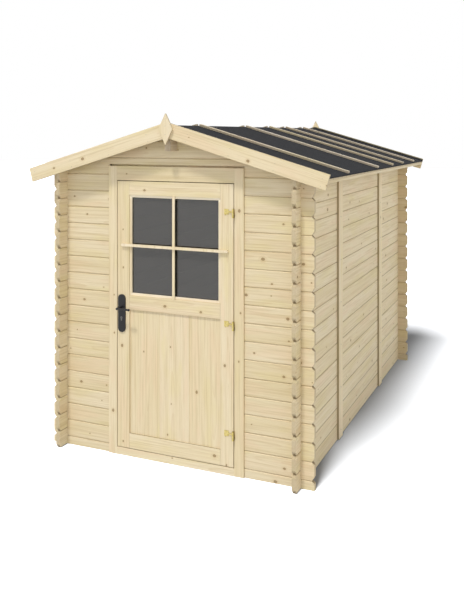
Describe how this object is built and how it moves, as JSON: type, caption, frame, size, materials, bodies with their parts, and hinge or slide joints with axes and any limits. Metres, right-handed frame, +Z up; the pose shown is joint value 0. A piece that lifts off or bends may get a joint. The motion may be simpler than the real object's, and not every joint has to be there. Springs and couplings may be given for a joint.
{
  "type": "log-plank garden house",
  "caption": "Small garden house of interlocking log planks with crossed corner ends, a felted gable roof held down by battens, and a half-glazed door in the front gable wall.",
  "frame": {"origin": "on the ground, at the middle of the footprint, roof overhangs included", "axes": "+Z up; the door faces -Y; +X is to the right as seen facing the door; the ridge runs along Y"},
  "size_m": [2.2474, 3.044, 2.3459],
  "materials": {
    "wood_log": "planed untreated spruce, fine grain and small knots",
    "wood_board": "planed untreated spruce boards",
    "wood_trim": "planed untreated spruce, slightly paler",
    "felt": "charcoal bitumen roofing felt, fine mineral surface",
    "glass": "clear float glass in front of a dark room",
    "brass": "yellow-passivated steel, satin",
    "black_metal": "black powder coat, satin",
    "steel": "nickel-plated lock cylinder"
  },
  "bodies": {
    "house": {"front_sill": "wood_log", "front_wall_left": "wood_log", "front_wall_right": "wood_log", "front_gable": "wood_log", "rear_wall": "wood_log", "left_wall": "wood_log", "right_wall": "wood_log", "wall_battens_left": "wood_trim", "wall_battens_right": "wood_trim", "ridge_purlin": "wood_log", "roof_boards_left": "wood_board", "roof_boards_right": "wood_board", "felt_left": "felt", "felt_right": "felt", "roof_battens_left": "wood_trim", "roof_battens_right": "wood_trim", "eave_trim_left": "wood_trim", "eave_trim_right": "wood_trim", "bargeboard_front_left": "wood_trim", "bargeboard_front_right": "wood_trim", "bargeboard_rear_left": "wood_trim", "bargeboard_rear_right": "wood_trim", "finial_front": "wood_trim", "finial_rear": "wood_trim", "floor_joists": "wood_board", "floor_boards": "wood_board", "door_post_left": "wood_trim", "door_post_right": "wood_trim", "door_header": "wood_trim", "door_threshold": "wood_trim", "hinge_pins": "brass"},
    "door": {"door_stile_lock": "wood_trim", "door_stile_hinge": "wood_trim", "door_top_rail": "wood_trim", "door_middle_rail": "wood_trim", "door_bottom_rail": "wood_trim", "door_panel": "wood_trim", "door_glass": "glass", "door_beads": "wood_trim", "door_bars": "wood_trim", "hinge_straps": "brass", "handle_plates": "black_metal", "lock_cylinder": "steel"},
    "handle": {"lever_handle": "black_metal"}
  },
  "joints": [
    {"name": "door_hinge", "type": "hinge", "parent": "house", "child": "door", "pos_m": [0.4445, -1.4245, 0], "axis": [0, 0, 1], "range_deg": [0, 150]},
    {"name": "lever_turn", "type": "hinge", "parent": "door", "child": "handle", "pos_m": [-0.405, -1.392, 1.02], "axis": [0, 1, 0], "range_deg": [0, 40], "stiffness_Nm_per_rad": 2, "springref_deg": -17.19}
  ]
}
